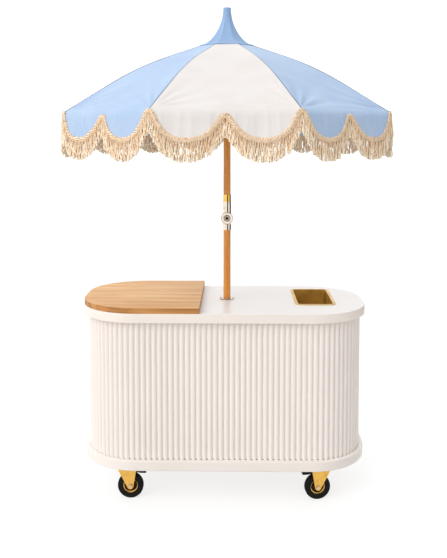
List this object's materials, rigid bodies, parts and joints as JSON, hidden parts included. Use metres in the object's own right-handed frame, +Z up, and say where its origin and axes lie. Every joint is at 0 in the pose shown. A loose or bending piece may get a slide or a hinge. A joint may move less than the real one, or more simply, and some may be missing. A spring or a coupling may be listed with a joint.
{
  "type": "vending cart with parasol",
  "caption": "White fluted vending cart on brass-coloured casters, with a cutting board, a drop-in bin and a tilting, folding, fringed blue and white parasol.",
  "frame": {"origin": "on the floor under the parasol pole's axis", "axes": "+Z up, -Y towards the fluted front, +X towards the bin's end"},
  "size_m": [1.5674, 1.5674, 2.3966],
  "materials": {
    "white_lacquer": "satin white lacquer on board",
    "plywood": "bent ply, clear matt",
    "oak": "oiled oak",
    "pole_wood": "satin varnished hardwood",
    "frame_wood": "satin varnished ash",
    "brass": "polished brass",
    "gold_steel": "gold plated steel",
    "gold_rim": "gold plated steel",
    "tyre": "black rubber",
    "chrome": "polished chrome",
    "black_steel": "black paint",
    "black_plastic": "black moulded plastic",
    "striped_canvas": "white and light blue cotton canvas, panel by panel",
    "blue_canvas": "light blue cotton canvas",
    "valance_canvas": "white and light blue canvas with a cream cotton fringe"
  },
  "bodies": {
    "cabinet": {"counter_top": "white_lacquer", "cabinet_wall": "plywood", "fluted_cladding": "white_lacquer", "base_slab": "white_lacquer", "shelf": "plywood", "shelf_cleats": "plywood", "pole_socket": "chrome", "socket_screws": "chrome", "caster_plates": "black_steel", "caster_bolts": "black_steel"},
    "cutting_board": {"cutting_board": "oak"},
    "drop_in_bin": {"drop_in_bin": "brass"},
    "front_left_caster": {"front_left_fork": "gold_steel"},
    "front_left_wheel": {"front_left_hub": "gold_rim", "front_left_tyre": "tyre"},
    "front_left_brake": {"front_left_brake_pedal": "black_plastic"},
    "front_right_caster": {"front_right_fork": "gold_steel"},
    "front_right_wheel": {"front_right_hub": "gold_rim", "front_right_tyre": "tyre"},
    "front_right_brake": {"front_right_brake_pedal": "black_plastic"},
    "rear_left_caster": {"rear_left_fork": "gold_steel"},
    "rear_left_wheel": {"rear_left_hub": "gold_rim", "rear_left_tyre": "tyre"},
    "rear_right_caster": {"rear_right_fork": "gold_steel"},
    "rear_right_wheel": {"rear_right_hub": "gold_rim", "rear_right_tyre": "tyre"},
    "parasol_pole": {"lower_pole": "pole_wood", "lower_knuckle": "chrome"},
    "parasol_head": {"upper_knuckle": "chrome", "brass_collar": "brass", "upper_pole": "pole_wood", "crown_hub": "black_plastic", "pagoda_cap": "blue_canvas", "canopy": "striped_canvas"},
    "tilt_button": {"tilt_button": "chrome"},
    "runner": {"runner": "black_plastic"},
    "rib_1": {"rib_1": "frame_wood"},
    "strut_1": {"strut_1": "frame_wood"},
    "valance_1": {"valance_1": "valance_canvas"},
    "rib_2": {"rib_2": "frame_wood"},
    "strut_2": {"strut_2": "frame_wood"},
    "valance_2": {"valance_2": "valance_canvas"},
    "rib_3": {"rib_3": "frame_wood"},
    "strut_3": {"strut_3": "frame_wood"},
    "valance_3": {"valance_3": "valance_canvas"},
    "rib_4": {"rib_4": "frame_wood"},
    "strut_4": {"strut_4": "frame_wood"},
    "valance_4": {"valance_4": "valance_canvas"},
    "rib_5": {"rib_5": "frame_wood"},
    "strut_5": {"strut_5": "frame_wood"},
    "valance_5": {"valance_5": "valance_canvas"},
    "rib_6": {"rib_6": "frame_wood"},
    "strut_6": {"strut_6": "frame_wood"},
    "valance_6": {"valance_6": "valance_canvas"},
    "rib_7": {"rib_7": "frame_wood"},
    "strut_7": {"strut_7": "frame_wood"},
    "valance_7": {"valance_7": "valance_canvas"},
    "rib_8": {"rib_8": "frame_wood"},
    "strut_8": {"strut_8": "frame_wood"},
    "valance_8": {"valance_8": "valance_canvas"}
  },
  "joints": [
    {"name": "cutting_board_lift", "type": "slide", "parent": "cabinet", "child": "cutting_board", "axis": [0, 0, 1], "range_m": [0, 0.2]},
    {"name": "drop_in_bin_lift", "type": "slide", "parent": "cabinet", "child": "drop_in_bin", "axis": [0, 0, 1], "range_m": [0, 0.25]},
    {"name": "front_left_swivel", "type": "hinge", "parent": "cabinet", "child": "front_left_caster", "pos_m": [-0.487, -0.245, 0.153], "axis": [0, 0, 1], "continuous": true},
    {"name": "front_left_spin", "type": "hinge", "parent": "front_left_caster", "child": "front_left_wheel", "pos_m": [-0.467, -0.245, 0.0625], "axis": [0, 1, 0], "continuous": true},
    {"name": "front_left_brake_press", "type": "hinge", "parent": "front_left_caster", "child": "front_left_brake", "pos_m": [-0.456, -0.245, 0.139], "axis": [0, 1, 0], "range_deg": [0, 12]},
    {"name": "front_right_swivel", "type": "hinge", "parent": "cabinet", "child": "front_right_caster", "pos_m": [0.461, -0.245, 0.153], "axis": [0, 0, 1], "continuous": true},
    {"name": "front_right_spin", "type": "hinge", "parent": "front_right_caster", "child": "front_right_wheel", "pos_m": [0.4412, -0.24778, 0.0625], "axis": [0.1392, -0.9903, 0], "continuous": true},
    {"name": "front_right_brake_press", "type": "hinge", "parent": "front_right_caster", "child": "front_right_brake", "pos_m": [0.4303, -0.24931, 0.139], "axis": [0.1392, -0.9903, 0], "range_deg": [0, 12]},
    {"name": "rear_left_swivel", "type": "hinge", "parent": "cabinet", "child": "rear_left_caster", "pos_m": [-0.487, 0.245, 0.153], "axis": [0, 0, 1], "continuous": true},
    {"name": "rear_left_spin", "type": "hinge", "parent": "rear_left_caster", "child": "rear_left_wheel", "pos_m": [-0.46711, 0.24291, 0.0625], "axis": [0.1045, 0.9945, 0], "continuous": true},
    {"name": "rear_right_swivel", "type": "hinge", "parent": "cabinet", "child": "rear_right_caster", "pos_m": [0.461, 0.245, 0.153], "axis": [0, 0, 1], "continuous": true},
    {"name": "rear_right_spin", "type": "hinge", "parent": "rear_right_caster", "child": "rear_right_wheel", "pos_m": [0.44105, 0.2464, 0.0625], "axis": [-0.0698, -0.9976, 0], "continuous": true},
    {"name": "parasol_lift", "type": "slide", "parent": "cabinet", "child": "parasol_pole", "axis": [0, 0, 1], "range_m": [0, 0.7]},
    {"name": "parasol_tilt", "type": "hinge", "parent": "parasol_pole", "child": "parasol_head", "pos_m": [0, 0, 1.345], "axis": [0, 1, 0], "range_deg": [0, 40]},
    {"name": "tilt_button_press", "type": "slide", "parent": "parasol_head", "child": "tilt_button", "axis": [0, 1, 0], "range_m": [0, 0.0035], "stiffness_N_per_m": 600, "springref_m": -0.002},
    {"name": "runner_slide", "type": "slide", "parent": "parasol_head", "child": "runner", "axis": [0, 0, -1], "range_m": [0, 0.42642], "deforming": ["canopy", "valance_1", "valance_2", "valance_3", "valance_4", "valance_5", "valance_6", "valance_7", "valance_8"]},
    {"name": "rib_1_fold", "type": "hinge", "parent": "parasol_head", "child": "rib_1", "pos_m": [0.03326, 0.01378, 2.22864], "axis": [-0.3827, 0.9239, 0], "range_deg": [-0.05, 61.05]},
    {"name": "strut_1_fold", "type": "hinge", "parent": "rib_1", "child": "strut_1", "pos_m": [0.32521, 0.1347, 2.11415], "axis": [0.3827, -0.9239, 0], "range_deg": [-0.05, 119.31]},
    {"name": "valance_1_hang", "type": "hinge", "parent": "rib_1", "child": "valance_1", "pos_m": [0.74187, 0.30729, 1.879], "axis": [0.3827, -0.9239, 0], "range_deg": [-0.05, 61.05]},
    {"name": "rib_2_fold", "type": "hinge", "parent": "parasol_head", "child": "rib_2", "pos_m": [0.01378, 0.03326, 2.22864], "axis": [-0.9239, 0.3827, 0], "range_deg": [-0.05, 61.05]},
    {"name": "strut_2_fold", "type": "hinge", "parent": "rib_2", "child": "strut_2", "pos_m": [0.1347, 0.32521, 2.11415], "axis": [0.9239, -0.3827, 0], "range_deg": [-0.05, 119.31]},
    {"name": "valance_2_hang", "type": "hinge", "parent": "rib_2", "child": "valance_2", "pos_m": [0.30729, 0.74187, 1.879], "axis": [0.9239, -0.3827, 0], "range_deg": [-0.05, 61.05]},
    {"name": "rib_3_fold", "type": "hinge", "parent": "parasol_head", "child": "rib_3", "pos_m": [-0.01378, 0.03326, 2.22864], "axis": [-0.9239, -0.3827, 0], "range_deg": [-0.05, 61.05]},
    {"name": "strut_3_fold", "type": "hinge", "parent": "rib_3", "child": "strut_3", "pos_m": [-0.1347, 0.32521, 2.11415], "axis": [0.9239, 0.3827, 0], "range_deg": [-0.05, 119.31]},
    {"name": "valance_3_hang", "type": "hinge", "parent": "rib_3", "child": "valance_3", "pos_m": [-0.30729, 0.74187, 1.879], "axis": [0.9239, 0.3827, 0], "range_deg": [-0.05, 61.05]},
    {"name": "rib_4_fold", "type": "hinge", "parent": "parasol_head", "child": "rib_4", "pos_m": [-0.03326, 0.01378, 2.22864], "axis": [-0.3827, -0.9239, 0], "range_deg": [-0.05, 61.05]},
    {"name": "strut_4_fold", "type": "hinge", "parent": "rib_4", "child": "strut_4", "pos_m": [-0.32521, 0.1347, 2.11415], "axis": [0.3827, 0.9239, 0], "range_deg": [-0.05, 119.31]},
    {"name": "valance_4_hang", "type": "hinge", "parent": "rib_4", "child": "valance_4", "pos_m": [-0.74187, 0.30729, 1.879], "axis": [0.3827, 0.9239, 0], "range_deg": [-0.05, 61.05]},
    {"name": "rib_5_fold", "type": "hinge", "parent": "parasol_head", "child": "rib_5", "pos_m": [-0.03326, -0.01378, 2.22864], "axis": [0.3827, -0.9239, 0], "range_deg": [-0.05, 61.05]},
    {"name": "strut_5_fold", "type": "hinge", "parent": "rib_5", "child": "strut_5", "pos_m": [-0.32521, -0.1347, 2.11415], "axis": [-0.3827, 0.9239, 0], "range_deg": [-0.05, 119.31]},
    {"name": "valance_5_hang", "type": "hinge", "parent": "rib_5", "child": "valance_5", "pos_m": [-0.74187, -0.30729, 1.879], "axis": [-0.3827, 0.9239, 0], "range_deg": [-0.05, 61.05]},
    {"name": "rib_6_fold", "type": "hinge", "parent": "parasol_head", "child": "rib_6", "pos_m": [-0.01378, -0.03326, 2.22864], "axis": [0.9239, -0.3827, 0], "range_deg": [-0.05, 61.05]},
    {"name": "strut_6_fold", "type": "hinge", "parent": "rib_6", "child": "strut_6", "pos_m": [-0.1347, -0.32521, 2.11415], "axis": [-0.9239, 0.3827, 0], "range_deg": [-0.05, 119.31]},
    {"name": "valance_6_hang", "type": "hinge", "parent": "rib_6", "child": "valance_6", "pos_m": [-0.30729, -0.74187, 1.879], "axis": [-0.9239, 0.3827, 0], "range_deg": [-0.05, 61.05]},
    {"name": "rib_7_fold", "type": "hinge", "parent": "parasol_head", "child": "rib_7", "pos_m": [0.01378, -0.03326, 2.22864], "axis": [0.9239, 0.3827, 0], "range_deg": [-0.05, 61.05]},
    {"name": "strut_7_fold", "type": "hinge", "parent": "rib_7", "child": "strut_7", "pos_m": [0.1347, -0.32521, 2.11415], "axis": [-0.9239, -0.3827, 0], "range_deg": [-0.05, 119.31]},
    {"name": "valance_7_hang", "type": "hinge", "parent": "rib_7", "child": "valance_7", "pos_m": [0.30729, -0.74187, 1.879], "axis": [-0.9239, -0.3827, 0], "range_deg": [-0.05, 61.05]},
    {"name": "rib_8_fold", "type": "hinge", "parent": "parasol_head", "child": "rib_8", "pos_m": [0.03326, -0.01378, 2.22864], "axis": [0.3827, 0.9239, 0], "range_deg": [-0.05, 61.05]},
    {"name": "strut_8_fold", "type": "hinge", "parent": "rib_8", "child": "strut_8", "pos_m": [0.32521, -0.1347, 2.11415], "axis": [-0.3827, -0.9239, 0], "range_deg": [-0.05, 119.31]},
    {"name": "valance_8_hang", "type": "hinge", "parent": "rib_8", "child": "valance_8", "pos_m": [0.74187, -0.30729, 1.879], "axis": [-0.3827, -0.9239, 0], "range_deg": [-0.05, 61.05]}
  ],
  "couplings": [
    {"joint": "rib_1_fold", "follows": "runner_slide", "rad_per_m": 2.4967},
    {"joint": "strut_1_fold", "follows": "runner_slide", "rad_per_m": 4.8814},
    {"joint": "valance_1_hang", "follows": "runner_slide", "rad_per_m": 2.4967},
    {"joint": "rib_2_fold", "follows": "runner_slide", "rad_per_m": 2.4967},
    {"joint": "strut_2_fold", "follows": "runner_slide", "rad_per_m": 4.8814},
    {"joint": "valance_2_hang", "follows": "runner_slide", "rad_per_m": 2.4967},
    {"joint": "rib_3_fold", "follows": "runner_slide", "rad_per_m": 2.4967},
    {"joint": "strut_3_fold", "follows": "runner_slide", "rad_per_m": 4.8814},
    {"joint": "valance_3_hang", "follows": "runner_slide", "rad_per_m": 2.4967},
    {"joint": "rib_4_fold", "follows": "runner_slide", "rad_per_m": 2.4967},
    {"joint": "strut_4_fold", "follows": "runner_slide", "rad_per_m": 4.8814},
    {"joint": "valance_4_hang", "follows": "runner_slide", "rad_per_m": 2.4967},
    {"joint": "rib_5_fold", "follows": "runner_slide", "rad_per_m": 2.4967},
    {"joint": "strut_5_fold", "follows": "runner_slide", "rad_per_m": 4.8814},
    {"joint": "valance_5_hang", "follows": "runner_slide", "rad_per_m": 2.4967},
    {"joint": "rib_6_fold", "follows": "runner_slide", "rad_per_m": 2.4967},
    {"joint": "strut_6_fold", "follows": "runner_slide", "rad_per_m": 4.8814},
    {"joint": "valance_6_hang", "follows": "runner_slide", "rad_per_m": 2.4967},
    {"joint": "rib_7_fold", "follows": "runner_slide", "rad_per_m": 2.4967},
    {"joint": "strut_7_fold", "follows": "runner_slide", "rad_per_m": 4.8814},
    {"joint": "valance_7_hang", "follows": "runner_slide", "rad_per_m": 2.4967},
    {"joint": "rib_8_fold", "follows": "runner_slide", "rad_per_m": 2.4967},
    {"joint": "strut_8_fold", "follows": "runner_slide", "rad_per_m": 4.8814},
    {"joint": "valance_8_hang", "follows": "runner_slide", "rad_per_m": 2.4967}
  ]
}
